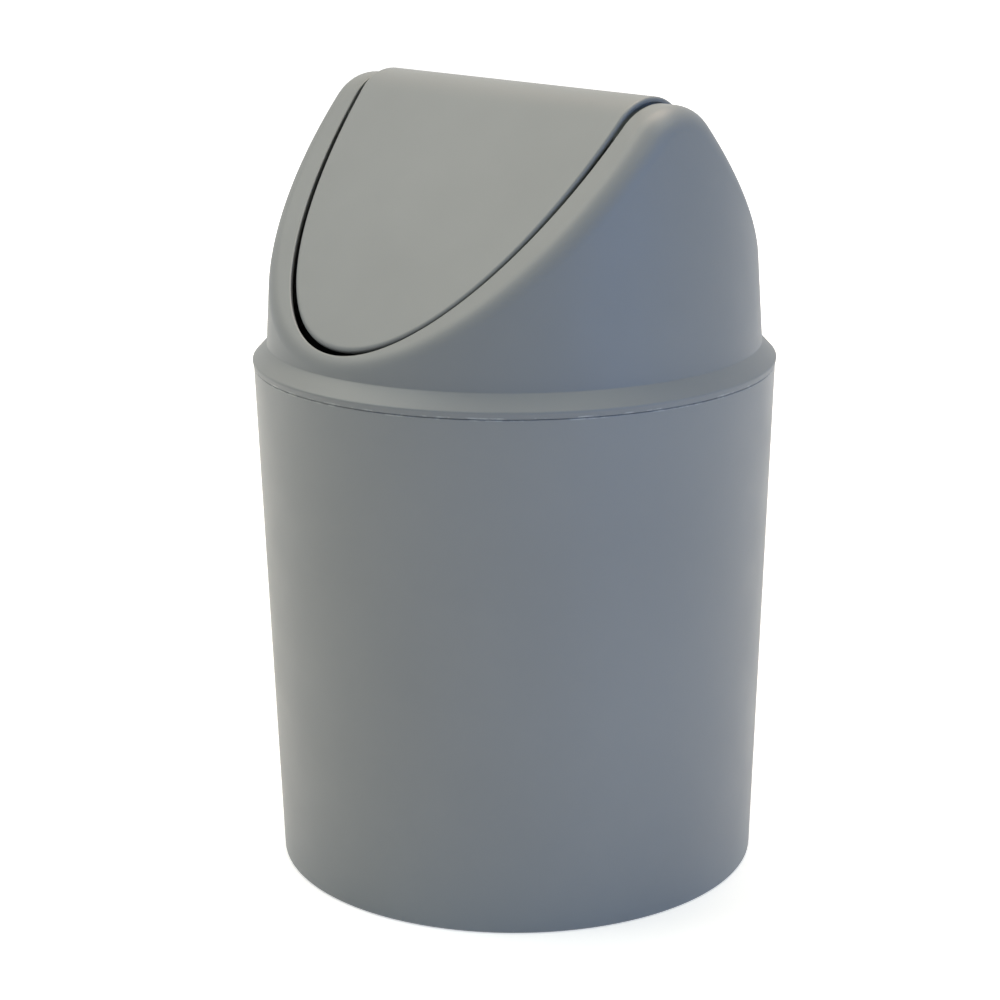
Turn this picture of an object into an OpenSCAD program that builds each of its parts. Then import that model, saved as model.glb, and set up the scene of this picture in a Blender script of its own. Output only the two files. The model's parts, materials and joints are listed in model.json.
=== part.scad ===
// Countertop trash can with a swing lid: a round tapered bin, a lid hood that
// plugs into its rim, and a gable-shaped flap that swings on two pins.
// Millimetres, +Z up. The origin is the middle of the base, on the table.
// The ridge and the swing axis run along X, and the two mouths face -Y and +Y.

/* [Bin] */
// Outside diameter of the bin at the table
bin_base_d = 129.4; // [115:0.1:145]
// Height of the seam under the lid, where the bin's wall steps in
seam_z = 137.7; // [90:0.1:190]
// Outward lean of the bin's wall, in degrees
bin_draft = 1.8; // [0.5:0.1:4]
// Thickness of the bin's wall
bin_wall = 1.6; // [1.2:0.1:2.4]
// Thickness of the bin's floor
bin_floor = 2; // [1.2:0.1:4]
// Radius where the bin's floor meets its wall inside
floor_fillet = 5; // [2:0.5:12]
// Height of the foot ring that carries the floor clear of the table
foot_h = 1.4; // [0.6:0.1:4]
// Width of the foot ring
foot_w = 4; // [2.5:0.1:8]
// Rounding of the bin's outer edge at the table
base_round = 1; // [0.4:0.1:2]
// Height of the thinned rim above the step
neck_h = 2.1; // [1.6:0.1:3]
// How much the wall is thinned there, on the outside
neck_cut = 0.7; // [0.4:0.1:0.8]
// Rounding of the step's outer edge
step_round = 0.3; // [0.1:0.1:0.5]

/* [Flange and plug] */
// Gap that shows as the seam between the step and the lid's flange
seam_gap = 0.4; // [0.3:0.1:0.8]
// How far the lid's flange stands out from the bin's wall
flange_proud = 0.95; // [0.3:0.05:2]
// Height of the flange from its lower edge to the widest point
flange_lip_h = 1.35; // [0.8:0.05:3]
// Clearance of the flange round the thinned rim
lip_gap = 0.2; // [0.1:0.05:0.4]
// Rounding of the flange's widest point
lip_round = 0.8; // [0.4:0.1:1]
// How far the shoulder draws in above the widest point
shoulder_in = 3.85; // [2:0.05:6]
// Height of the shoulder
shoulder_h = 4.3; // [2:0.05:7]
// Depth of the plug that drops inside the bin
plug_h = 10; // [6:0.5:16]
// Thickness of the plug
plug_t = 1.8; // [1.2:0.1:2.6]
// Clearance between the plug and the bin's wall
plug_gap = 0.3; // [0.1:0.05:0.6]

/* [Hood] */
// Thickness of the hood
hood_t = 2; // [1.4:0.1:2.8]
// Inward lean of the hood's wall, in degrees
hood_lean = 3.7; // [1:0.1:8]
// Height of the wall above the shoulder to the roof line, at the front
eave_h = 3.2; // [2.6:0.1:12]
// Pitch of both roof slopes, in degrees
pitch = 46.8; // [38:0.1:54]
// Radius that rounds the hood's ridge
hood_ridge_r = 15; // [12:0.1:18]
// Radius that blends the wall into the roof
blend_r = 6.7; // [4.5:0.1:9]
// Width of the roof that is left between the front wall and the opening
front_margin = 2.1; // [1.6:0.1:6]
// Width of each cheek beside the opening, at the ridge
cheek_margin = 10.6; // [9:0.1:16]
// Rounding of the opening's edge
mouth_round = 0.6; // [0.3:0.1:0.9]

/* [Flap] */
// Thickness of the flap
flap_t = 1.4; // [1.2:0.1:2]
// Gap beside the flap, at the ridge
side_gap = 1.5; // [1.2:0.1:2.2]
// Gap below the flap's tips, measured level
tip_gap = 1.4; // [1:0.1:3]
// How far the flap's tips lie below the roof
tip_sink = 0.6; // [0:0.1:1]
// How much steeper the flap's slopes are than the roof's, in degrees
steeper = 0.85; // [0:0.05:1.2]
// How much fuller the flap's outline is than an ellipse
fuller = 0.03; // [0:0.01:0.04]
// Radius that rounds the flap's ridge; the swing axis is its centre
flap_ridge_r = 14; // [12:0.1:15]
// Rounding of the flap's outer edge
flap_round = 0.85; // [0.3:0.05:1.1]
// How far the stiffening rim under the flap is set in from the edge
rim_in = 2.6; // [2:0.1:2.8]
// Depth of the stiffening rim, from the flap's face
rim_h = 4.4; // [3.2:0.1:6]
// Thickness of the stiffening rim
rim_t = 1.4; // [1:0.1:2]
// Thickness of the round cheek that closes each end of the ridge
web_t = 2; // [1.4:0.1:3]
// How far each cheek is set in from the flap's widest point
web_in = 1; // [0.6:0.1:1.6]

/* [Hinge] */
// Diameter of the two pins on the flap
pin_d = 5; // [4:0.1:6]
// Running clearance of each pin in its ear, on the radius
pin_gap = 0.08; // [0.03:0.01:0.1]
// Diameter of the collar at each pin's root
collar_d = 8; // [7:0.1:9]
// Diameter of the boss round the ear's hole
boss_d = 10; // [9:0.1:11]
// End play of the flap, on each side
end_play = 0.3; // [0.2:0.05:0.5]
// Thickness of each ear
ear_t = 2.6; // [2:0.1:3.4]
// How far each ear is set out from the opening's edge
ear_out = 0.4; // [0.2:0.1:1]
// Radius of the ear below the pin
ear_r = 8; // [7:0.1:9]
// How far the flap swings each way, in degrees
swing = 80; // [60:1:85]
// Thickness of the stop lug below each pin
lug_t = 2.4; // [1.8:0.1:3]
// Radial height of the stop lug
lug_h = 2.8; // [2:0.1:3.2]
// Play left at the end of the swing
stop_gap = 0.15; // [0.1:0.05:0.3]

/* [Hidden] */
$fn = 96;
bury = 2;                 // how far one part of a moulding is sunk into the next
ledge = 0.2;              // fine step at the foot of the hood's wall
sink = 0.5;               // how far a pin, boss or lug is sunk into what carries it

// The bin
function bin_r(z) = bin_base_d / 2 + z * tan(bin_draft);
function bin_in_r(z) = bin_r(z) - bin_wall / cos(bin_draft);

// The lid rests on the top of the thinned rim. Its flange comes down outside the
// rim and stops short of the step, and the wall of the hood stands on the flange.
rim_z = seam_z + neck_h;
neck_r = bin_r(rim_z) - neck_cut;
flange_z = seam_z + seam_gap;
lip_z = flange_z + flange_lip_h;
lip_r = bin_r(flange_z) + flange_proud;
crease_z = lip_z + shoulder_h;
crease_r = lip_r - shoulder_in;
function wall_r(z) = crease_r - (z - crease_z) * tan(hood_lean);

// The roof: two slopes that meet at apex_z, with the ridge rounded
eave_z = crease_z + eave_h;
apex_z = eave_z + wall_r(eave_z) * tan(pitch);
function roof(y, apex, r, slope = pitch) =
    abs(y) < r * sin(slope)
    ? apex - r / cos(slope) + sqrt(r * r - y * y)
    : apex - abs(y) * tan(slope);
// Outward direction of the roof at y, for a ridge rounded to r
function roof_n(y, r, slope = pitch) =
    let (s = abs(y) < r * sin(slope) ? y / r : sign(y) * sin(slope))
    [0, s, sqrt(1 - s * s)];

// A ball rolled along the inside corner of wall and roof gives the blend. It is
// limited so that it starts above the shoulder.
ball_r = min(blend_r, 0.95 * eave_h / tan((90 - pitch - hood_lean) / 2));
ball_apex = apex_z - ball_r / cos(pitch);
ball_ridge_r = hood_ridge_r - ball_r;
function ball_out(t, r, n) =
    n == 0 ? r
    : ball_out(t, wall_r(roof(r * sin(t), ball_apex, ball_ridge_r))
        - ball_r / cos(hood_lean), n - 1);
function ball(t) =
    let (r = ball_out(t, crease_r - ball_r, 8), y = r * sin(t))
    [r * cos(t), y, roof(y, ball_apex, ball_ridge_r)];
function wall_n(t) =
    [cos(hood_lean) * cos(t), cos(hood_lean) * sin(t), sin(hood_lean)];
// Point on the blend at turn t: k runs from 0 on the wall to 1 on the roof
function blend(t, k, r) =
    let (c = ball(t), a = wall_n(t), b = roof_n(c[1], ball_ridge_r),
         w = acos(a * b))
    c + r * (sin((1 - k) * w) * a + sin(k * w) * b) / sin(w);

// Openings and flap outlines are ellipses in plan, laid on the roof
ridge_z = apex_z - hood_ridge_r / cos(pitch) + hood_ridge_r;
mouth_x = wall_r(ridge_z) - cheek_margin;
mouth_y = wall_r(eave_z) - front_margin;
flap_x = mouth_x - side_gap;
flap_y = mouth_y - tip_gap;
// The flap is a gable of its own. Its tips lie just below the roof and its ridge
// stands proud. The swing axis is the centre of its rounded ridge.
flap_pitch = pitch + steeper;
flap_apex = apex_z + flap_y * (tan(flap_pitch) - tan(pitch)) - tip_sink;
axis_z = flap_apex - flap_ridge_r / cos(flap_pitch);
// Points of an outline with half-axes ax and ay, sunk by d into the roof or flap
function on_roof(t, ax, ay, d) =
    let (y = ay * sin(t))
    [ax * cos(t), y, roof(y, apex_z, hood_ridge_r)] - d * roof_n(y, hood_ridge_r);
function full(c) = sign(c) * pow(abs(c), 1 - fuller);
function on_flap(t, ax, ay, d) =
    let (y = ay * full(sin(t)))
    [ax * full(cos(t)), y, roof(y, flap_apex, flap_ridge_r, flap_pitch)]
        - d * roof_n(y, flap_ridge_r, flap_pitch);

// Turns round the outline: close together where the ridge is rounded
fine = 9;
fine_step = 1.5;
coarse = 19;
quarter = concat([for (i = [0:fine]) i * fine_step],
    [for (i = [1:coarse]) fine * fine_step + i * (90 - fine * fine_step) / coarse]);
nq = fine + coarse;
turns = concat([for (i = [0:nq]) quarter[i]],
    [for (i = [nq - 1:-1:0]) 180 - quarter[i]],
    [for (i = [1:nq]) 180 + quarter[i]],
    [for (i = [nq - 1:-1:1]) 360 - quarter[i]]);
nt = len(turns);

// Faces between ring a and ring b of a stack of rings
function band(a, b) = [for (i = [0:nt - 1]) let (j = (i + 1) % nt)
    each [[a * nt + i, b * nt + i, b * nt + j], [a * nt + i, b * nt + j, a * nt + j]]];
// Right and left ends of ruling k, from the front tip (-nq) to the back one
function right(k) = k >= 0 ? k : nt + k;
function left(k) = 2 * nq - k;
// Faces that close a ring with rulings along X; up is true for a top face
function cap(a, up) = [for (k = [-nq:nq - 1])
    let (p = a * nt + right(k), q = a * nt + right(k + 1),
         s = a * nt + left(k + 1), u = a * nt + left(k))
    each concat(
        k < nq - 1 ? [up ? [p, s, q] : [p, q, s]] : [],
        k > -nq ? [up ? [p, u, s] : [p, s, u]] : [])];

// The hinge
web_x = flap_x - web_in;              // outer face of the flap's cheek
collar_x = flap_x + 0.1;              // end of the collar, just past the rim
boss_x = collar_x + end_play;         // inner face of the ear's boss
ear_x = mouth_x + ear_out;            // inner face of the ear
pin_end = ear_x + ear_t - 0.4;        // end of the pin
lug_top = flap_ridge_r - 1;           // outer radius of the stop lug
lug_low = lug_top - lug_h;
lug_x = ear_x - 0.6;                  // end of the stop lug
stop_z = axis_z - lug_low * cos(swing) + lug_t / 2 * sin(swing) + stop_gap;
stop_top = axis_z + 2.6;              // top of the stops, under the roof
pin_tip = 0.8;                        // length of the pin's tapered end

// Points of a quarter round of radius r about c, from angle a to angle b
function arc(c, r, a, b, n = 4) =
    [for (i = [0:n]) c + r * [cos(a + (b - a) * i / n), sin(a + (b - a) * i / n)]];

module bin_body() {
    r0 = bin_r(0);
    rs = bin_r(seam_z);
    edge = 0.2;
    fz = foot_h + bin_floor;
    fr = bin_in_r(fz);
    color([0.50, 0.52, 0.53])
    rotate_extrude()
        polygon(concat(
            [[0, foot_h], [r0 - foot_w - foot_h, foot_h], [r0 - foot_w, 0]],
            arc([r0 - base_round, base_round], base_round, -90, 0),
            arc([rs - step_round, seam_z - step_round], step_round, 0, 90, 3),
            [[rs - neck_cut, seam_z], [neck_r, rim_z - edge], [neck_r - edge, rim_z],
             [bin_in_r(rim_z) + edge, rim_z], [bin_in_r(rim_z), rim_z - edge]],
            arc([fr - floor_fillet, fz + floor_fillet], floor_fillet, 0, -90, 8),
            [[0, fz]]));
}

// The turned ring of the lid: a flange over the rim and a plug inside it
module lid_ring() {
    plug_z = rim_z - plug_h;
    in_r = wall_r(crease_z) - hood_t / cos(hood_lean) - ledge;
    plug_r = bin_in_r(plug_z) - plug_gap;
    lip_in = neck_r + lip_gap;
    edge = 0.2;
    lead = 2.2;
    rotate_extrude()
        polygon(concat(
            [[in_r, crease_z], [in_r, crease_z - bury - edge],
             [bin_in_r(rim_z) - plug_gap - plug_t, rim_z - edge],
             [plug_r - plug_t, plug_z + edge], [plug_r - plug_t + edge, plug_z],
             [plug_r - plug_t / 2, plug_z], [plug_r, plug_z + lead],
             [bin_in_r(rim_z) - plug_gap, rim_z], [lip_in, rim_z],
             [lip_in, flange_z + edge], [lip_in + edge, flange_z],
             [bin_r(flange_z) + edge / 2, flange_z]],
            arc([lip_r - lip_round, lip_z], lip_round, -20, 48, 4),
            [[crease_r + ledge, crease_z]]));
}

// The blended shell of the hood, open over both slopes
module hood_shell() {
    steps = 6;
    e = mouth_round;
    foot_z = crease_z - bury;
    foot_in = wall_r(foot_z) - hood_t / cos(hood_lean);
    function round_a(i) = 30 * i;
    rings = concat(
        [[for (t = turns) [wall_r(foot_z) * cos(t), wall_r(foot_z) * sin(t), foot_z]]],
        [for (k = [0:steps]) [for (t = turns) blend(t, k / steps, ball_r)]],
        [for (i = [0:3]) let (g = e * (1 - sin(round_a(i))))
            [for (t = turns) on_roof(t, mouth_x + g, mouth_y + g, e * (1 - cos(round_a(i))))]],
        [[for (t = turns) on_roof(t, mouth_x, mouth_y, hood_t)]],
        [for (k = [steps:-1:0]) [for (t = turns) blend(t, k / steps, ball_r - hood_t)]],
        [[for (t = turns) [foot_in * cos(t), foot_in * sin(t), foot_z]]]);
    n = len(rings);
    polyhedron(points = [for (r = rings) each r],
        faces = [for (i = [0:n - 1]) each band(i, (i + 1) % n)], convexity = 8);
}

// One ear under a cheek, with its boss, hole, lead-in ramp and two stops
module ear() {
    hole = pin_d + 2 * pin_gap;
    half = flap_ridge_r + 1.2;
    depth = hood_t / 2;
    roof_line = [for (i = [-8:8]) let (y = half * i / 8)
        [y, roof(y, apex_z, hood_ridge_r) - depth]];
    difference() {
        union() {
            translate([ear_x, 0, 0]) rotate([90, 0, 90]) linear_extrude(ear_t)
                polygon(concat(roof_line, [[ear_r, axis_z], [-ear_r, axis_z]]));
            translate([ear_x, 0, axis_z]) rotate([0, 90, 0]) cylinder(r = ear_r, h = ear_t);
            translate([boss_x, 0, axis_z]) rotate([0, 90, 0])
                cylinder(d = boss_d, h = ear_x - boss_x + sink);
            for (s = [0, 1]) mirror([0, s, 0])
                translate([boss_x, lug_low, stop_z])
                    cube([ear_x - boss_x + sink, half - 1 - lug_low, stop_top - stop_z]);
        }
        translate([boss_x - 1, 0, axis_z]) rotate([0, 90, 0])
            cylinder(d = hole, h = ear_x + ear_t - boss_x + 2);
        translate([0, (pin_d + 0.4) / 2, axis_z]) rotate([90, 0, 0]) linear_extrude(pin_d + 0.4)
            polygon([[boss_x - 1, -ear_r - 1], [ear_x + 1, -ear_r - 1],
                [boss_x + 0.3, -pin_d / 2], [boss_x - 1, -pin_d / 2]]);
    }
}

module lid_hood() {
    color([0.50, 0.52, 0.53]) {
        lid_ring();
        hood_shell();
        for (s = [0, 1]) mirror([s, 0, 0]) ear();
    }
}

// The gable-shaped panel, with a stiffening rim set in under its edge
module flap_shell() {
    e = flap_round;
    function ring(g, d) = [for (t = turns) on_flap(t, flap_x - g, flap_y - g, d)];
    rings = concat(
        [for (i = [0:3]) ring(e * (1 - sin(30 * i)), e * (1 - cos(30 * i)))],
        [ring(0, flap_t), ring(rim_in, flap_t), ring(rim_in, rim_h),
         ring(rim_in + rim_t, rim_h), ring(rim_in + rim_t, flap_t)]);
    n = len(rings);
    polyhedron(points = [for (r = rings) each r],
        faces = concat(cap(0, true), [for (i = [0:n - 2]) each band(i + 1, i)],
            cap(n - 1, false)), convexity = 8);
}

// One end of the swing axis: cheek, collar, pin and stop lug
module flap_end() {
    web_r = flap_ridge_r - flap_t / 2;
    translate([web_x - web_t, 0, axis_z]) rotate([0, 90, 0]) cylinder(r = web_r, h = web_t);
    translate([web_x - sink, 0, axis_z]) rotate([0, 90, 0])
        cylinder(d = collar_d, h = collar_x - web_x + sink);
    translate([web_x - sink, 0, axis_z]) rotate([0, 90, 0])
        cylinder(d = pin_d, h = pin_end - pin_tip - web_x + sink);
    translate([pin_end - pin_tip, 0, axis_z]) rotate([0, 90, 0])
        cylinder(d1 = pin_d, d2 = pin_d - 1.5 * pin_tip, h = pin_tip);
    translate([web_x - sink, -lug_t / 2, axis_z - lug_top])
        cube([lug_x - web_x + sink, lug_t, lug_h]);
}

module swing_flap() {
    color([0.60, 0.60, 0.58]) {
        flap_shell();
        for (s = [0, 1]) mirror([s, 0, 0]) flap_end();
    }
}

bin_body();
lid_hood();
swing_flap();
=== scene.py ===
# %% [markdown]
# # A countertop bin with a swing lid
# The object is three plastic mouldings: a tapered round bin, a hood that plugs into its rim, and a
# gable-shaped flap that swings on two pins under the hood's ridge. Their sizes are settled in the
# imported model, which is loaded first and stays fixed. Everything after it dresses that model: finer
# meshes of the same three mouldings, the satin finish of the plastic, a camera and soft light.
# The steps follow the way such a bin is made: sizes, walls, the three mouldings, their finish.

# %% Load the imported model
import json
import math

import bpy
import numpy as np
from mathutils import Matrix, Vector


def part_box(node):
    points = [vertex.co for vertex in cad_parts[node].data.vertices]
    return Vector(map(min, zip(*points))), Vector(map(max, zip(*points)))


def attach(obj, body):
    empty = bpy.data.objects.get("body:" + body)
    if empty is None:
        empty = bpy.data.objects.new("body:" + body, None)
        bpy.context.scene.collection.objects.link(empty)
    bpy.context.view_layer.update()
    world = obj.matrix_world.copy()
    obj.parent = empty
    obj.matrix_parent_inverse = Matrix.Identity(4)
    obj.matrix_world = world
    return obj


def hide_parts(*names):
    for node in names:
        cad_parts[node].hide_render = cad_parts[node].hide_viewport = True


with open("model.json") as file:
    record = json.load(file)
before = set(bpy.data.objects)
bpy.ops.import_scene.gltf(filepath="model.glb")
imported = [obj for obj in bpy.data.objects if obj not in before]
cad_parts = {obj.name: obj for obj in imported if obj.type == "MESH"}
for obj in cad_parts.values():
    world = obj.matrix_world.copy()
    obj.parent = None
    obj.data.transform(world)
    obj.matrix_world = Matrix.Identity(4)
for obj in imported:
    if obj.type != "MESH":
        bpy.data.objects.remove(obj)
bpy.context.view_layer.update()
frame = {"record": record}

# %% [markdown]
# ## Sizes
# A moulder's drawing has few driving sizes, and the rest follows. The outer sizes are read from the
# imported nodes, so that the meshes can't drift from them: the rim of the bin, the flange, the end of the
# plug, the ends of the pins and the swing axis. What a box can't tell, such as a lean or a radius, is a
# named value here. All lengths are in millimetres, and a mesh is scaled to metres when it is built.

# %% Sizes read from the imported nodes
MM = 0.001


def node_box(name):
    low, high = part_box(name)
    return np.array(low) / MM, np.array(high) / MM


bin_high = node_box("bin_body")[1]
hood_low, hood_high = node_box("lid_hood")
flap_high = node_box("swing_flap")[1]
swing_joint = next(j for j in frame["record"]["behaviour"]["joints"] if j["name"] == "flap_swing")

rim_z = bin_high[2]
rim_r = bin_high[0]
lip_r = hood_high[0]
plug_z = hood_low[2]
pin_end = flap_high[0]
axis_z = swing_joint["pos_m"][2] / MM
print("rim at", round(rim_z, 2), "flange radius", round(lip_r, 2), "swing axis at", round(axis_z, 2))

# %% [markdown]
# The leans, walls, clearances and radii below are the maker's choices that no box shows. They are the
# same values as in the solid model, so change one here only with its twin there.

# %% Sizes that a box can't tell: the bin
seam_z = 137.7           # height of the seam where the bin's wall steps in
bin_draft = math.radians(1.8)
bin_wall = 1.6
bin_floor = 2.0
floor_fillet = 5.0
foot_h = 1.4             # the floor is carried this far clear of the table
foot_w = 4.0
base_round = 1.0
neck_cut = 0.7           # the rim is thinned by this much above the step
step_round = 0.3
print("bin leans out by", round(math.degrees(bin_draft), 1), "degrees, wall", bin_wall)

# %% The hood
seam_gap = 0.4           # between the bin's step and the flange in the solid model
flange_lip_h = 1.35
lip_gap = 0.2            # between the thinned rim and the flange's channel
lip_round = 0.8
shoulder_in = 3.85       # the shoulder's run and rise
shoulder_h = 4.3
plug_t = 1.8
plug_gap = 0.3
hood_t = 2.0
hood_lean = math.radians(3.7)
eave_h = 3.2             # the roof's planes start this far above the foot of the wall
pitch = math.radians(46.8)
hood_ridge_r = 15.0
blend_r = 6.7
front_margin = 2.1       # from the wall to the opening, at the front and at the ridge
cheek_margin = 10.6
print("hood leans in by", round(math.degrees(hood_lean), 1), "degrees, wall", hood_t)

# %% The flap, its pins and its stops
flap_t = 1.4
side_gap = 1.5           # between the opening and the flap, at the ridge and at the tips
tip_gap = 1.4
tip_sink = 0.6           # the flap's tips lie this far below the roof
steeper = math.radians(0.85)   # and its slopes are steeper than the roof's by this
fuller = 0.03            # how much fuller its outline is than an ellipse
flap_ridge_r = 14.0
flap_round = 0.85
rim_in = 2.6             # the stiffening rim: how far in, how deep and how thick
rim_h = 4.4
rim_t = 1.4
cheek_in = 1.0
cheek_t = 2.0
pin_d = 5.0
pin_gap = 0.08
collar_d = 8.0
boss_d = 10.0
end_play = 0.3           # how far the flap can slide along its pins, each way
ear_t = 2.6
ear_out = 0.4
ear_r = 8.0
swing = math.radians(80)
lug_t = 2.4
lug_h = 2.8
stop_gap = 0.15
print("flap swings", round(math.degrees(swing)), "degrees each way, pins", pin_d, "across")

# %% [markdown]
# A few values are for the eye alone, with no twin in the solid model or a plainer one there. A lid that
# has been put on many times sits closer than its drawing says, an opening's edge is crisp, and a loose
# flap has slid to one end of its play. Each of them moves an edge by less than a millimetre.

# %% Small things for the eye
seam_closed = 0.3        # the bin's step stands this much nearer to the flange
mouth_round = 0.35
mouth_wide = 0.15        # the opening is wider by this all round
under_x = 0.9            # its edge leans back under the roof by this, at the sides and at the tips
under_y = 0.4
slid_x = 0.25            # the flap has slid to the right by this
corner = 0.1             # what is left of a sharp corner
print("open seam:", round(seam_gap - seam_closed, 2), "flap slid by", slid_x, "of", end_play)

# %% [markdown]
# ## Where the walls are
# The bin's wall leans out and the hood's wall leans in, so each is one line in section. The roof is two
# slopes that meet in a rounded ridge. A ball rolled along the inside corner of wall and roof leaves the
# blend that the hood shows: its centre stays one ball radius inside both, and where the ball touches is
# where the blend begins and ends. With these few functions every later ring of points is exact.

# %% Wall, roof and rolling ball
base_r = rim_r + neck_cut - rim_z * math.tan(bin_draft)


def bin_r(z):
    return base_r + z * math.tan(bin_draft)


def bin_in_r(z):
    return bin_r(z) - bin_wall / math.cos(bin_draft)


flange_z = seam_z + seam_gap
lip_z = flange_z + flange_lip_h
crease_z = lip_z + shoulder_h
crease_r = lip_r - shoulder_in
eave_z = crease_z + eave_h


def wall_r(z):
    return crease_r - (z - crease_z) * math.tan(hood_lean)


apex_z = eave_z + wall_r(eave_z) * math.tan(pitch)


def roof_z(y, apex, ridge_r, slope=pitch):
    y = np.asarray(y)
    round_part = apex - ridge_r / math.cos(slope) + np.sqrt(np.maximum(ridge_r**2 - y**2, 0))
    return np.where(np.abs(y) < ridge_r * math.sin(slope), round_part, apex - np.abs(y) * math.tan(slope))


def roof_normal(y, ridge_r, slope=pitch):
    y = np.asarray(y)
    sine = np.where(np.abs(y) < ridge_r * math.sin(slope), y / ridge_r, np.sign(y) * math.sin(slope))
    return np.stack([np.zeros_like(sine), sine, np.sqrt(1 - sine**2)], axis=-1)


BALL_LIMIT = 0.95        # the largest ball still leaves a little wall under the eave
ball_r = min(blend_r, BALL_LIMIT * eave_h / math.tan((math.pi / 2 - pitch - hood_lean) / 2))
ball_apex = apex_z - ball_r / math.cos(pitch)
ball_ridge_r = hood_ridge_r - ball_r
CLOSING_STEPS = 12


def ball_centre(turn):
    """Closes in on the place where the ball touches both wall and roof."""
    out = np.full_like(turn, crease_r - ball_r)
    for _ in range(CLOSING_STEPS):
        out = wall_r(roof_z(out * np.sin(turn), ball_apex, ball_ridge_r)) - ball_r / math.cos(hood_lean)
    y = out * np.sin(turn)
    return np.stack([out * np.cos(turn), y, roof_z(y, ball_apex, ball_ridge_r)], axis=-1)


ridge_z = apex_z - hood_ridge_r / math.cos(pitch) + hood_ridge_r
print("apex of the two slopes at", round(apex_z, 2), "ball radius", round(ball_r, 2))
print("ridge at", round(ridge_z, 2), "and in the packed hood at", round(hood_high[2], 2))

# %% [markdown]
# ## Rings of points
# A moulding that closes on itself can be skinned like a barrel: a stack of rings with the same number
# of points, joined by four-sided faces. The last ring joins the first again, so the skin is closed with
# no cap and no seam. The bin and the hood are made this way. The alternative, a solid cut by Boolean
# tools, would leave long thin faces on the blend, and those shade badly in satin plastic.

# %% Helpers that skin a stack of rings
POINTS_ROUND = 480
turns = np.linspace(0, 2 * math.pi, POINTS_ROUND, endpoint=False)


def circle(r, z, count=POINTS_ROUND):
    turn = np.linspace(0, 2 * math.pi, count, endpoint=False)
    return np.stack([r * np.cos(turn), r * np.sin(turn), np.full(count, float(z))], axis=-1)


def arc(centre, r, start, end, steps):
    angles = np.radians(np.linspace(start, end, steps + 1))
    return [(centre[0] + r * math.cos(a), centre[1] + r * math.sin(a)) for a in angles]


def held(outline, reach=0.5):
    """Adds a point close to both ends of every long line, so that smooth shading stays at the corner."""
    points = [outline[0]]
    for a, b in zip(outline, outline[1:]):
        length = math.dist(a, b)
        if length > 3 * reach:
            for f in (reach / length, 1 - reach / length):
                points.append((a[0] + f * (b[0] - a[0]), a[1] + f * (b[1] - a[1])))
        points.append(b)
    return points


def mesh_piece(name, points, faces):
    mesh = bpy.data.meshes.new(name)
    mesh.from_pydata([Vector(p) * MM for p in points], [], faces)
    mesh.validate()
    piece = bpy.data.objects.new(name, mesh)
    bpy.context.scene.collection.objects.link(piece)
    return piece


def band(a, b, count):
    return [(a * count + i, a * count + (i + 1) % count, b * count + (i + 1) % count, b * count + i)
            for i in range(count)]


def closed_skin(name, rings):
    """Skins rings that go round in a closed loop, as the section of a ring does."""
    count = len(rings[0])
    total = len(rings)
    faces = [f for i in range(total) for f in band(i, (i + 1) % total, count)]
    return mesh_piece(name, np.concatenate(rings), faces)


def turned(name, outline, count=POINTS_ROUND):
    """Turns an outline that starts and ends on the axis."""
    rings = [circle(r, z, count) for r, z in outline[1:-1]]
    points = list(np.concatenate(rings)) + [(0, 0, outline[0][1]), (0, 0, outline[-1][1])]
    faces = [f for i in range(len(rings) - 1) for f in band(i, i + 1, count)]
    first, last, bottom, top = 0, (len(rings) - 1) * count, len(points) - 2, len(points) - 1
    faces += [(bottom, first + (i + 1) % count, first + i) for i in range(count)]
    faces += [(top, last + i, last + (i + 1) % count) for i in range(count)]
    return mesh_piece(name, points, faces)


print("points round each ring:", POINTS_ROUND)

# %% [markdown]
# ## The bin
# The bin is turned: one outline from the middle of the underside, round the foot and up the wall to the
# thinned rim, and down the inside to the middle of the floor. The underside keeps what moulding leaves
# there, a small dished gate well with the cut stub of the sprue in it. Turning suits the piece, because
# every section through its axis is the same.

# %% Turn the bin
well_r = 5.0
well_h = 0.4
sprue_r = 1.2
sprue_h = 0.7
sprue_round = 0.15
foot_soft = 0.3          # the corners on the inside of the foot ring
edge = 0.2               # the rounded edge of a thin wall
step_z = seam_z + seam_closed
base_edge_r = bin_r(0)
step_r = bin_r(step_z)
neck_r = bin_r(rim_z) - neck_cut
floor_z = foot_h + bin_floor
floor_r = bin_in_r(floor_z)
rim_in_r = bin_in_r(rim_z)
foot_in_r = base_edge_r - foot_w
well_z = foot_h + well_h
sprue_z = well_z - sprue_h
underside = [
    (0, sprue_z), (sprue_r - sprue_round, sprue_z), (sprue_r, sprue_z + sprue_round),
    (sprue_r + corner, well_z), (well_r - well_h, well_z), (well_r, foot_h),
    (foot_in_r - foot_h - foot_soft, foot_h), (foot_in_r - foot_h + corner, foot_h - foot_soft / 2),
    (foot_in_r - edge, corner), (foot_in_r + foot_soft, 0)]
outside = (arc((base_edge_r - base_round, base_round), base_round, -90, 2, 8)
           + arc((step_r - step_round, step_z - step_round), step_round, 0, 90, 5)
           + [(step_r - neck_cut + corner / 2, step_z), (step_r - neck_cut, step_z + corner)]
           + arc((neck_r - edge, rim_z - edge), edge, 0, 90, 4))
inside = (arc((rim_in_r + edge, rim_z - edge), edge, 90, 180, 4)
          + arc((floor_r - floor_fillet, floor_z + floor_fillet), floor_fillet, 0, -90, 16)
          + [(0, floor_z)])
bin_moulding = turned("bin_moulding", held(underside + outside + inside))
print("bin outline points:", len(underside + outside + inside), "faces:", len(bin_moulding.data.polygons))

# %% [markdown]
# ## The hood's skin
# In section the hood is one long closed loop: out along the flange, over the shoulder, up the wall,
# round the blend onto the roof, over the rounded edge of the opening, and back down the inside to the
# plug and the channel that sits over the bin's rim. The lower rings are circles. The upper ones follow
# the rolling ball and then the opening, which is an ellipse in plan laid on the roof.

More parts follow.
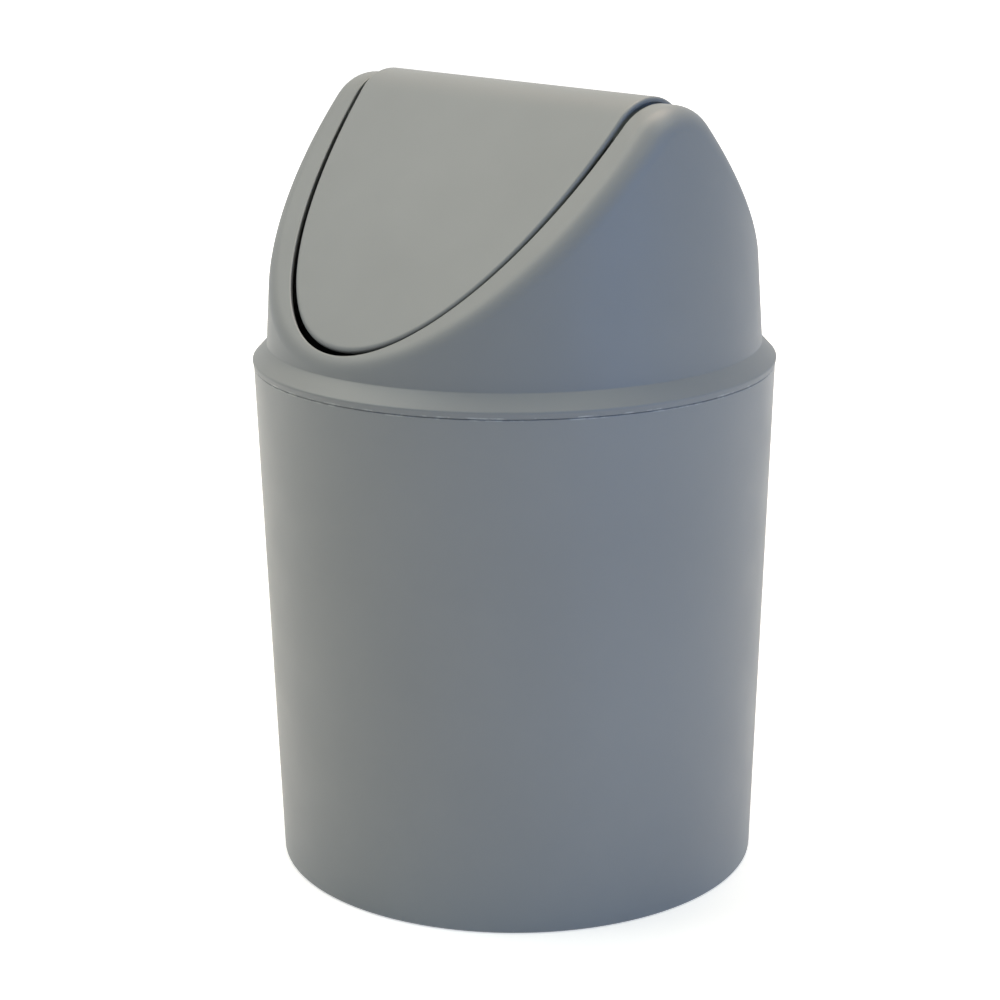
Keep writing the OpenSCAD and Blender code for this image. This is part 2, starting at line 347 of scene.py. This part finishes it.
# %% Rings of the hood
mouth_x = wall_r(ridge_z) - cheek_margin
mouth_y = wall_r(eave_z) - front_margin
wall_normal = np.stack([math.cos(hood_lean) * np.cos(turns), math.cos(hood_lean) * np.sin(turns),
                        np.full_like(turns, math.sin(hood_lean))], axis=-1)


def blend_ring(part, r):
    """Points where a ball of radius r about the rolling centre stands part way from wall to roof."""
    centre = ball_centre(turns)
    roof_dir = roof_normal(centre[:, 1], ball_ridge_r)
    angle = np.arccos(np.sum(wall_normal * roof_dir, axis=1))[:, None]
    way = (np.sin((1 - part) * angle) * wall_normal + np.sin(part * angle) * roof_dir) / np.sin(angle)
    return centre + r * way


def laid_ring(half_x, half_y, depth, apex=apex_z, ridge_r=hood_ridge_r, slope=pitch, full=0.0):
    """An ellipse in plan, or a fuller outline, laid on a gable and sunk into it by depth."""
    cosine, sine = (np.sign(f) * np.abs(f)**(1 - full) for f in (np.cos(turns), np.sin(turns)))
    y = half_y * sine
    face = np.stack([half_x * cosine, y, roof_z(y, apex, ridge_r, slope)], axis=-1)
    return face - depth * roof_normal(y, ridge_r, slope)


def wall_ring(z):
    return circle(wall_r(z), z)


def mouth_ring(part):
    """The rounded edge of the opening: part runs from 0 on the roof to 1 on the edge's wall."""
    a = part * math.pi / 2
    grow = mouth_wide + mouth_round * (1 - math.sin(a))
    return laid_ring(mouth_x + grow, mouth_y + grow, mouth_round * (1 - math.cos(a)))


print("opening half-axes:", round(mouth_x, 2), round(mouth_y, 2))

# %% Skin the hood
BLEND_STEPS = 14
MOUTH_STEPS = 6
in_edge = 0.3
LIP_ARC = (-20, 48)      # the rounded lip of the flange, in degrees from level
crease_soft = 0.1        # the crease at the foot of the wall is this soft
HOLDING_H = (0.12, 0.6)  # rings just above the crease, which hold the shading there
lead_h = 2.4             # the plug's foot leans in over this height, to find the rim,
lead_rest_h = 2.0        # and at this height only lead_rest of the lean is left
lead_rest = 0.08
plug_r = bin_in_r(plug_z) - plug_gap
lip_in = neck_r + lip_gap
foot_in = wall_r(crease_z) - hood_t / math.cos(hood_lean)
shoulder = (arc((lip_r - lip_round, lip_z), lip_round, *LIP_ARC, 10)
            + [(crease_r + 0.35, crease_z - 0.28), (crease_r + crease_soft, crease_z - 0.03)])
flange_and_shoulder = held([(lip_in + edge, flange_z), (bin_r(flange_z) + corner, flange_z)] + shoulder)
rings = [circle(r, z) for r, z in flange_and_shoulder]
rings += [wall_ring(crease_z + h) for h in HOLDING_H]
rings += [blend_ring(k / BLEND_STEPS, ball_r) for k in range(BLEND_STEPS + 1)]
rings += [mouth_ring(k / MOUTH_STEPS) for k in range(MOUTH_STEPS + 1)]
rings += [laid_ring(mouth_x + under_x, mouth_y + under_y, hood_t - in_edge)]
rings += [laid_ring(mouth_x + under_x + in_edge, mouth_y + under_y + in_edge, hood_t)]
rings += [blend_ring(k / BLEND_STEPS, ball_r - hood_t) for k in range(BLEND_STEPS, -1, -1)]
inner_foot = held([
    (foot_in, crease_z + 0.4), (foot_in - 0.05, crease_z - 1.9),
    (bin_in_r(rim_z) - plug_gap - plug_t, rim_z - edge), (plug_r - plug_t, plug_z + edge),
    (plug_r - plug_t + edge, plug_z), (plug_r - plug_t / 2, plug_z),
    (plug_r - lead_rest, plug_z + lead_rest_h), (plug_r, plug_z + lead_h),
    (bin_in_r(rim_z) - plug_gap, rim_z), (lip_in, rim_z), (lip_in, flange_z + edge)])
rings += [circle(r, z) for r, z in inner_foot]
hood_moulding = closed_skin("hood_moulding", rings)
print("rings:", len(rings), "faces:", len(hood_moulding.data.polygons))

# %% [markdown]
# ## Ears for the pins
# Under each cheek of the hood hangs an ear with a boss and a hole, and the flap's pin snaps up a ramp
# into it. Two blocks beside it stop the swing. These are small hard forms that meet the smooth skin, so
# they are built apart, given a fine bevel as a tool maker would, and then united with the skin.

# %% Helpers for hard forms and for uniting them
AROUND_X = Matrix.Rotation(math.pi / 2, 4, "Y")
BEVEL_ANGLE = math.radians(35)
BEVEL_STEPS = 3


def apply_modifiers(piece):
    solved = piece.evaluated_get(bpy.context.evaluated_depsgraph_get())
    mesh = bpy.data.meshes.new_from_object(solved)
    piece.modifiers.clear()
    piece.data = mesh


def bevelled(piece, width):
    bevel = piece.modifiers.new("fine edge", "BEVEL")
    bevel.width = width * MM
    bevel.segments = BEVEL_STEPS
    bevel.limit_method = "ANGLE"
    bevel.angle_limit = BEVEL_ANGLE
    apply_modifiers(piece)
    return piece


def merge(piece, other, operation="UNION"):
    """Unites another solid with the piece, or cuts it away, and removes the other one."""
    step = piece.modifiers.new(operation.lower(), "BOOLEAN")
    step.operation = operation
    step.solver = "EXACT"
    step.object = other
    apply_modifiers(piece)
    bpy.data.objects.remove(other)
    return piece


def rod(name, profile, z=0.0, count=96):
    """Turns an outline of (x, r) about a line along X at height z."""
    piece = turned(name, [(r, x) for x, r in profile], count)
    piece.data.transform(Matrix.Translation((0, 0, z * MM)) @ AROUND_X)
    return piece


def slab(name, outline, x_low, x_high):
    """Extrudes an outline of (y, z) along X."""
    count = len(outline)
    points = [(x, y, z) for x in (x_low, x_high) for y, z in outline]
    faces = [(i, (i + 1) % count, count + (i + 1) % count, count + i) for i in range(count)]
    faces += [tuple(range(count - 1, -1, -1)), tuple(range(count, 2 * count))]
    return mesh_piece(name, points, faces)


def box_outline(y_low, y_high, z_low, z_high):
    return [(y_low, z_low), (y_high, z_low), (y_high, z_high), (y_low, z_high)]


def mirrored(piece, name):
    twin = piece.copy()
    twin.data = piece.data.copy()
    twin.name = name
    twin.data.transform(Matrix.Diagonal((-1, 1, 1, 1)))
    twin.data.flip_normals()
    bpy.context.scene.collection.objects.link(twin)
    return twin


print("helpers ready")

# %% One ear, and its mirror image
sunk = 0.5               # pieces to be united reach into each other by this
past = 1                 # and a cutter reaches this far past what it cuts
ear_more = 1.2           # the ear's half-width is the ridge's radius and this
ear_edge = 0.15
lug_in = 1               # the lug ends this far inside the flap's ridge
stop_in = 1              # and the stops end this far inside the ear's edges
stop_rise = 2.6          # from the axis up to the top of the stops
ramp_end = 0.3           # the ramp is still this deep where it reaches the hole
flap_x = mouth_x - side_gap
flap_y = mouth_y - tip_gap
collar_x = flap_x + 0.1
boss_x = collar_x + end_play
ear_x = mouth_x + ear_out
hole_r = pin_d / 2 + pin_gap
lug_top = flap_ridge_r - lug_in
lug_low = lug_top - lug_h
stop_z = axis_z - lug_low * math.cos(swing) + lug_t / 2 * math.sin(swing) + stop_gap
stop_top = axis_z + stop_rise
ear_half = flap_ridge_r + ear_more

roof_side = [(y, float(roof_z(y, apex_z, hood_ridge_r)) - hood_t / 2)
             for y in np.linspace(-ear_half, ear_half, 25)]
round_side = arc((0, axis_z), ear_r, 0, -180, 24)
ear = slab("ear", (roof_side + round_side)[::-1], ear_x, ear_x + ear_t)
merge(ear, rod("boss", [(boss_x, 0), (boss_x, boss_d / 2), (ear_x + sunk, boss_d / 2), (ear_x + sunk, 0)],
               axis_z))
for side in (-1, 1):
    low, high = sorted((side * lug_low, side * (ear_half - stop_in)))
    merge(ear, slab("stop", box_outline(low, high, stop_z, stop_top), boss_x, ear_x + sunk))
merge(ear, rod("hole", [(boss_x - past, 0), (boss_x - past, hole_r), (ear_x + ear_t + past, hole_r),
                        (ear_x + ear_t + past, 0)], axis_z), "DIFFERENCE")
ramp_half = pin_d / 2 + edge
ramp = slab("ramp", box_outline(-ramp_half, ramp_half, axis_z - ear_r - past, axis_z - pin_d / 2),
            boss_x - past, ear_x + past)
for vertex in ramp.data.vertices:
    if vertex.co.x > (ear_x + sunk) * MM and vertex.co.z > (axis_z - ear_r) * MM:
        vertex.co.x = (boss_x + ramp_end) * MM
merge(ear, ramp, "DIFFERENCE")
bevelled(ear, ear_edge)
merge(hood_moulding, mirrored(ear, "ear_twin"))
merge(hood_moulding, ear)
print("hood with ears, faces:", len(hood_moulding.data.polygons))

# %% [markdown]
# ## The flap
# The flap is a gable of its own: just below the roof at its two tips, a little steeper than the roof,
# and rounded tighter at the ridge, so it stands proud there and shows its edge. The ridge is rounded
# about the swing axis, so that it turns past the edge of the opening at a steady gap. Its face is made
# of straight rulings along the ridge from one side of the outline to the other, since a gable bends
# only one way. A rim set in under the edge stiffens the thin sheet.

# %% Rings and rulings of the flap
QUARTER = POINTS_ROUND // 4
flap_pitch = pitch + steeper
flap_apex = apex_z + flap_y * (math.tan(flap_pitch) - math.tan(pitch)) - tip_sink
print("ridge's centre", round(flap_apex - flap_ridge_r / math.cos(flap_pitch), 3), "and axis", axis_z)


def flap_ring(inset, depth):
    return laid_ring(flap_x - inset, flap_y - inset, depth, flap_apex, flap_ridge_r, flap_pitch, fuller)


def rulings(ring, up):
    """Closes a ring with strips that run along X, from the front tip to the back one."""
    base = ring * POINTS_ROUND
    faces = []
    for k in range(-QUARTER, QUARTER):
        right, right_next = base + k % POINTS_ROUND, base + (k + 1) % POINTS_ROUND
        left, left_next = base + 2 * QUARTER - k, base + 2 * QUARTER - k - 1
        if k == -QUARTER:
            face = (right, right_next, left_next)
        elif k == QUARTER - 1:
            face = (right, right_next, left)
        else:
            face = (right, right_next, left_next, left)
        faces.append(face if up else face[::-1])
    return faces


under = 0.15             # the edges on the underside
face_edge = [(flap_round * (1 - math.sin(a)), flap_round * (1 - math.cos(a)))
             for a in np.linspace(0, math.pi / 2, 7)]
sections = ([(flap_round + 0.5, 0)] + face_edge
            + [(0, flap_t - under), (under, flap_t), (rim_in - 0.3, flap_t), (rim_in, flap_t + 0.3),
               (rim_in, rim_h - under), (rim_in + under, rim_h), (rim_in + rim_t - under, rim_h),
               (rim_in + rim_t, rim_h - under), (rim_in + rim_t, flap_t + 0.3),
               (rim_in + rim_t + 0.3, flap_t)])
rings = [flap_ring(inset, depth) for inset, depth in sections]
faces = rulings(0, True) + rulings(len(rings) - 1, False)
faces += [f[::-1] for i in range(len(rings) - 1) for f in band(i, i + 1, POINTS_ROUND)]
flap_moulding = mesh_piece("flap_moulding", np.concatenate(rings), faces)
print("flap rings:", len(rings), "half-axes:", round(flap_x, 2), round(flap_y, 2))

# %% [markdown]
# ## What the flap swings on
# Each end of the ridge is closed by a round cheek, and on it stand a collar that keeps the flap from
# sliding, the pin that turns in the ear, and a lug that meets the stops. On the real flap they come out
# of the mould with it. Here they are turned and extruded about the swing axis and then united with the
# sheet, so that the flap stays one piece that rides on one body.

# %% Cheeks, collars, pins and stop lugs of the flap
pin_taper = 0.8
lug_clear = 0.6
lug_edge = 0.2
cheek_x = flap_x - cheek_in
cheek_r = flap_ridge_r - flap_t / 2
lug_x = ear_x - lug_clear
pin_profile = [(cheek_x - sunk, 0), (cheek_x - sunk, collar_d / 2), (collar_x - edge, collar_d / 2),
               (collar_x, collar_d / 2 - edge), (collar_x, pin_d / 2), (pin_end - pin_taper, pin_d / 2),
               (pin_end - 0.1, pin_d / 2 - 0.55), (pin_end, pin_d / 2 - 0.7), (pin_end, 0)]
pin = rod("pin", pin_profile, axis_z)
merge(pin, rod("cheek", [(cheek_x - cheek_t, 0), (cheek_x - cheek_t, cheek_r), (cheek_x, cheek_r),
                         (cheek_x, 0)], axis_z))
lug = slab("lug", box_outline(-lug_t / 2, lug_t / 2, axis_z - lug_top, axis_z - lug_low),
           cheek_x - sunk, lug_x)
merge(pin, bevelled(lug, lug_edge))
merge(flap_moulding, mirrored(pin, "pin_twin"))
merge(flap_moulding, pin)
flap_moulding.data.transform(Matrix.Translation((slid_x * MM, 0, 0)))
print("flap faces:", len(flap_moulding.data.polygons))

# %% [markdown]
# ## Shading of the skins
# A moulding has no facets, so every face is shaded smooth, and only corners sharper than a set angle
# stay crisp. Weighting the normals by face area keeps the large walls even right up to their edges.

# %% Smooth the skins and keep the true edges sharp
SHARP_ANGLE = math.radians(32)
for piece in (bin_moulding, hood_moulding, flap_moulding):
    mesh = piece.data
    mesh.polygons.foreach_set("use_smooth", [True] * len(mesh.polygons))
    mesh.set_sharp_from_angle(angle=SHARP_ANGLE)
    weighted = piece.modifiers.new("even shading", "WEIGHTED_NORMAL")
    weighted.keep_sharp = True
    print(piece.name, "vertices:", len(mesh.vertices))

# %% [markdown]
# ## The plastic
# All three mouldings are the same satin polypropylene. Up close it has the fine even grain of a spark
# eroded mould, and its gloss wanders a little where the melt flowed. The grain is a small bump and the
# rest is a slow change of colour and roughness, both in the piece's own coordinates. Where the lid and
# the bin meet, short pale dashes broken by a noise are a painted highlight: glints where the rounded
# edges catch the light.

# %% Values of the finish
PLASTIC_IOR = 1.49
TINT_PER_M = 22          # patches of the noise to a metre, as in the three below
TINT_SPREAD = 0.03
GLOSS_PER_M = 60
GLOSS_SPREAD = 0.03
GRAIN_PER_M = 3200
GRAIN_DEPTH = 0.04
GRAIN_STRENGTH = 0.25
# Painted highlight: pale dashes at the seam stand for glints where the rounded edges catch the light.
GLINT_PER_M = 240
GLINT_COVER = 0.8          # how far a dash covers the plastic's own colour
GLINT_HALF = 0.25       # half the height of the band of painted glints
GLINT_COLOUR = (0.36, 0.38, 0.39)
NO_GLINT = -100        # a height that no piece reaches
print("grain of about", round(1000 / GRAIN_PER_M, 2), "mm")

# %% Satin plastic


def satin_plastic(name, colour, roughness, seed, glint_z=NO_GLINT):
    material = bpy.data.materials.new(name)
    material.use_nodes = True
    nodes, links = material.node_tree.nodes, material.node_tree.links
    shader = nodes["Principled BSDF"]
    shader.inputs["IOR"].default_value = PLASTIC_IOR
    place = nodes.new("ShaderNodeTexCoord")
    shift = nodes.new("ShaderNodeMapping")
    shift.inputs["Location"].default_value = (seed, -seed, 2 * seed)
    links.new(place.outputs["Object"], shift.inputs["Vector"])

    def noise(scale, detail):
        texture = nodes.new("ShaderNodeTexNoise")
        texture.inputs["Scale"].default_value = scale
        texture.inputs["Detail"].default_value = detail
        links.new(shift.outputs["Vector"], texture.inputs["Vector"])
        return texture.outputs["Fac"]

    def remap(value, low, high, start=0.3, end=0.7):
        node = nodes.new("ShaderNodeMapRange")
        node.inputs["From Min"].default_value = start
        node.inputs["From Max"].default_value = end
        node.inputs["To Min"].default_value = low
        node.inputs["To Max"].default_value = high
        links.new(value, node.inputs["Value"])
        return node.outputs["Result"]

    tint = nodes.new("ShaderNodeMix")
    tint.data_type = "RGBA"
    tint.inputs["A"].default_value = (*[(1 - TINT_SPREAD) * c for c in colour], 1)
    tint.inputs["B"].default_value = (*[(1 + TINT_SPREAD) * c for c in colour], 1)
    links.new(remap(noise(TINT_PER_M, 3), 0, 1), tint.inputs["Factor"])
    height = nodes.new("ShaderNodeSeparateXYZ")
    links.new(place.outputs["Object"], height.inputs["Vector"])
    # Painted highlight: a thin band at one height is lightened in dashes broken by a noise, as glints on a
    # rounded edge.
    glint_band = nodes.new("ShaderNodeMath")
    glint_band.operation = "COMPARE"
    glint_band.inputs[1].default_value = glint_z * MM
    glint_band.inputs[2].default_value = GLINT_HALF * MM
    links.new(height.outputs["Z"], glint_band.inputs[0])
    glint_dashes = nodes.new("ShaderNodeMath")
    glint_dashes.operation = "MULTIPLY"
    links.new(glint_band.outputs[0], glint_dashes.inputs[0])
    links.new(remap(noise(GLINT_PER_M, 4), 0, GLINT_COVER, 0.5, 0.62), glint_dashes.inputs[1])
    glinted = nodes.new("ShaderNodeMix")
    glinted.data_type = "RGBA"
    glinted.inputs["B"].default_value = (*GLINT_COLOUR, 1)
    links.new(tint.outputs["Result"], glinted.inputs["A"])
    links.new(glint_dashes.outputs[0], glinted.inputs["Factor"])
    links.new(glinted.outputs["Result"], shader.inputs["Base Color"])
    gloss = remap(noise(GLOSS_PER_M, 4), roughness - GLOSS_SPREAD, roughness + GLOSS_SPREAD)
    links.new(gloss, shader.inputs["Roughness"])
    grain = nodes.new("ShaderNodeBump")
    grain.inputs["Strength"].default_value = GRAIN_STRENGTH
    grain.inputs["Distance"].default_value = GRAIN_DEPTH * MM
    links.new(noise(GRAIN_PER_M, 3), grain.inputs["Height"])
    links.new(grain.outputs["Normal"], shader.inputs["Normal"])
    return material


print("refraction of the plastic:", PLASTIC_IOR)

# %% Put the finish on and say what each piece stands for
# All three are one plastic. The bin's grey is lighter than the hood's and the flap's as painted light: it
# stands in for the floor's light, which falls more on the bin's wall than on the hood's wall under the
# flange.
BIN_GREY_LIGHTENED = (0.217, 0.233, 0.242)
HOOD_GREY = (0.201, 0.217, 0.227)
FLAP_GREY = (0.202, 0.218, 0.228)
# Heights of the painted glints: the bin's step and the flange's lower edge.
STEP_GLINT_Z = step_z - 0.2
FLANGE_GLINT_Z = flange_z + 0.15
FINISHES = {
    "bin_body": (bin_moulding, "bin", satin_plastic("bin_satin", BIN_GREY_LIGHTENED, 0.43, 0.1, STEP_GLINT_Z)),
    "lid_hood": (hood_moulding, "lid", satin_plastic("hood_satin", HOOD_GREY, 0.48, 0.7, FLANGE_GLINT_Z)),
    "swing_flap": (flap_moulding, "flap", satin_plastic("flap_satin", FLAP_GREY, 0.47, 1.3)),
}
for node, (piece, body, material) in FINISHES.items():
    piece.data.materials.clear()
    piece.data.materials.append(material)
    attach(piece, body)
    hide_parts(node)
    print(piece.name, "stands for", node, "and rides on", body)

# %% [markdown]
# ## Camera
# The photograph was taken from a little above, with the ridge turned 46.5 degrees. The camera's place
# and lens are real values found by matching the object's outline, so there is no shift and no blur.

# %% Place the camera
FOCAL_MM = 91.4
SENSOR_MM = 36
CAMERA_TURN = math.radians(46.5)
CAMERA_DISTANCE = 667.0
CAMERA_HEIGHT = 285.96
CAMERA_DIP = 0.27423     # in radians, as are the next two
CAMERA_AIM = -0.00619
CAMERA_ROLL = -0.00702
print("camera height above the table:", CAMERA_HEIGHT, "mm")

# %% Aim the camera
camera_data = bpy.data.cameras.new("camera")
camera_data.lens = FOCAL_MM
camera_data.sensor_width = SENSOR_MM
camera = bpy.data.objects.new("camera", camera_data)
bpy.context.scene.collection.objects.link(camera)
bpy.context.scene.camera = camera
ahead = Vector((math.sin(CAMERA_AIM) * math.cos(CAMERA_DIP), math.cos(CAMERA_AIM) * math.cos(CAMERA_DIP),
                -math.sin(CAMERA_DIP)))
level = Vector((math.cos(CAMERA_AIM), -math.sin(CAMERA_AIM), 0))
upward = level.cross(ahead)
right = math.cos(CAMERA_ROLL) * level + math.sin(CAMERA_ROLL) * upward
above = math.cos(CAMERA_ROLL) * upward - math.sin(CAMERA_ROLL) * level
facing = Matrix((right, above, -ahead)).transposed().to_4x4()
stand = Matrix.Translation(Vector((0, -CAMERA_DISTANCE, CAMERA_HEIGHT)) * MM)
camera.matrix_world = Matrix.Rotation(CAMERA_TURN, 4, "Z") @ stand @ facing
print("camera at", [round(v, 4) for v in camera.matrix_world.translation])

# %% [markdown]
# ## Floor and light
# The object stands on a plain white floor in front of white. The floor keeps the soft shadow. It is
# lifted to white only where the camera or a reflection looks at it, and more so far from the object,
# where less lamp light falls. What the floor throws back onto the bin is a weak, even glow.

# %% How white is lifted for the eye alone
bpy.context.scene.view_settings.view_transform = "Standard"


def looked_at(nodes, links):
    """Is 1 where the camera or a reflection looks, and 0 for the light that falls on the object."""
    paths = nodes.new("ShaderNodeLightPath")
    seen = paths.outputs["Is Camera Ray"]
    for ray in ("Is Glossy Ray", "Is Transmission Ray"):
        either = nodes.new("ShaderNodeMath")
        either.operation = "MAXIMUM"
        links.new(seen, either.inputs[0])
        links.new(paths.outputs[ray], either.inputs[1])
        seen = either.outputs[0]
    return seen


print("view:", bpy.context.scene.view_settings.view_transform)

# %% The floor
FLOOR_REACH = 6.0
TABLE_Z = -0.00002       # a hair under the foot ring, so that the two faces don't share one plane
FLOOR_WHITE = 0.8
FLOOR_GLOW = (0.188, 0.205, 0.221)
NEAR, FAR = (0.25, 0.55), (1.0, 1.0)   # distance in metres, and the lift towards white there
floor_corners = [(x * FLOOR_REACH, y * FLOOR_REACH, TABLE_Z) for x, y in ((-1, -1), (1, -1), (1, 1), (-1, 1))]
floor_mesh = bpy.data.meshes.new("floor")
floor_mesh.from_pydata(floor_corners, [], [(0, 1, 2, 3)])
floor = bpy.data.objects.new("floor", floor_mesh)
bpy.context.scene.collection.objects.link(floor)
print("floor:", 2 * FLOOR_REACH, "m across")

# %% The floor's white
floor_material = bpy.data.materials.new("floor_white")
floor_material.use_nodes = True
nodes, links = floor_material.node_tree.nodes, floor_material.node_tree.links
nodes.clear()
out = nodes.new("ShaderNodeOutputMaterial")
matt = nodes.new("ShaderNodeBsdfDiffuse")
matt.inputs["Color"].default_value = (FLOOR_WHITE, FLOOR_WHITE, FLOOR_WHITE, 1)
lift = nodes.new("ShaderNodeEmission")
place = nodes.new("ShaderNodeTexCoord")
distance = nodes.new("ShaderNodeVectorMath")
distance.operation = "LENGTH"
links.new(place.outputs["Object"], distance.inputs[0])
whiter = nodes.new("ShaderNodeMapRange")
for socket, value in zip(("From Min", "To Min", "From Max", "To Max"), (*NEAR, *FAR)):
    whiter.inputs[socket].default_value = value
links.new(distance.outputs["Value"], whiter.inputs["Value"])
glow = nodes.new("ShaderNodeMix")
glow.data_type = "RGBA"
glow.inputs["A"].default_value = (*FLOOR_GLOW, 1)
links.new(whiter.outputs["Result"], glow.inputs["B"])
links.new(looked_at(nodes, links), glow.inputs["Factor"])
links.new(glow.outputs["Result"], lift.inputs["Color"])
both = nodes.new("ShaderNodeAddShader")
links.new(matt.outputs[0], both.inputs[0])
links.new(lift.outputs[0], both.inputs[1])
links.new(both.outputs[0], out.inputs["Surface"])
floor.data.materials.append(floor_material)
print("floor lifted by", NEAR[1], "near the object and by", FAR[1], "far from it")

# %% [markdown]
# The world is white to the eye in the same way, and throws only a weak bluish light. The light that
# models the bin comes from four soft square lamps at one distance: a warm one high behind, which lights
# the slopes, one high in front for the shoulder, a neutral one on the left, and a low blue one on the
# right that cools the front of the walls. Their strengths were found by fitting the shades of the photo.

# %% The world
SKY_LIGHT = (0.085, 0.100, 0.110)
world = bpy.data.worlds.new("studio")
bpy.context.scene.world = world
world.use_nodes = True
nodes, links = world.node_tree.nodes, world.node_tree.links
backdrop = nodes["Background"]
sky = nodes.new("ShaderNodeMix")
sky.data_type = "RGBA"
sky.inputs["A"].default_value = (*SKY_LIGHT, 1)
sky.inputs["B"].default_value = (1, 1, 1, 1)
links.new(looked_at(nodes, links), sky.inputs["Factor"])
links.new(sky.outputs["Result"], backdrop.inputs["Color"])
print("sky light:", SKY_LIGHT)

# %% The lamps
LAMPS = {
    # name: (turn from the camera in degrees, height in degrees, watts, colour)
    "back_top": (180, 75, 17.7, (1.0, 0.836, 0.664)),
    "front_top": (50, 62, 6.9, (1.0, 0.997, 0.790)),
    "key_left": (-95, 52, 9.4, (1.0, 1.0, 0.894)),
    "low_fill": (45, 12, 5.8, (0.03, 0.307, 1.0)),
}
LAMP_DISTANCE = 1.5
LAMP_SIZE = 0.9
middle = Vector((0, 0, 0.11))   # half-way up the object, where the lamps point
for name, (turn, rise, watts, colour) in LAMPS.items():
    lamp_data = bpy.data.lights.new(name, "AREA")
    lamp_data.shape = "SQUARE"
    lamp_data.size = LAMP_SIZE
    lamp_data.energy = watts
    lamp_data.color = colour
    lamp = bpy.data.objects.new(name, lamp_data)
    bpy.context.scene.collection.objects.link(lamp)
    a, e = CAMERA_TURN + math.radians(turn), math.radians(rise)
    away = Vector((math.sin(a) * math.cos(e), -math.cos(a) * math.cos(e), math.sin(e)))
    lamp.location = middle + away * LAMP_DISTANCE
    lamp.rotation_euler = away.to_track_quat("Z", "Y").to_euler()
print("lamps:", ", ".join(LAMPS))
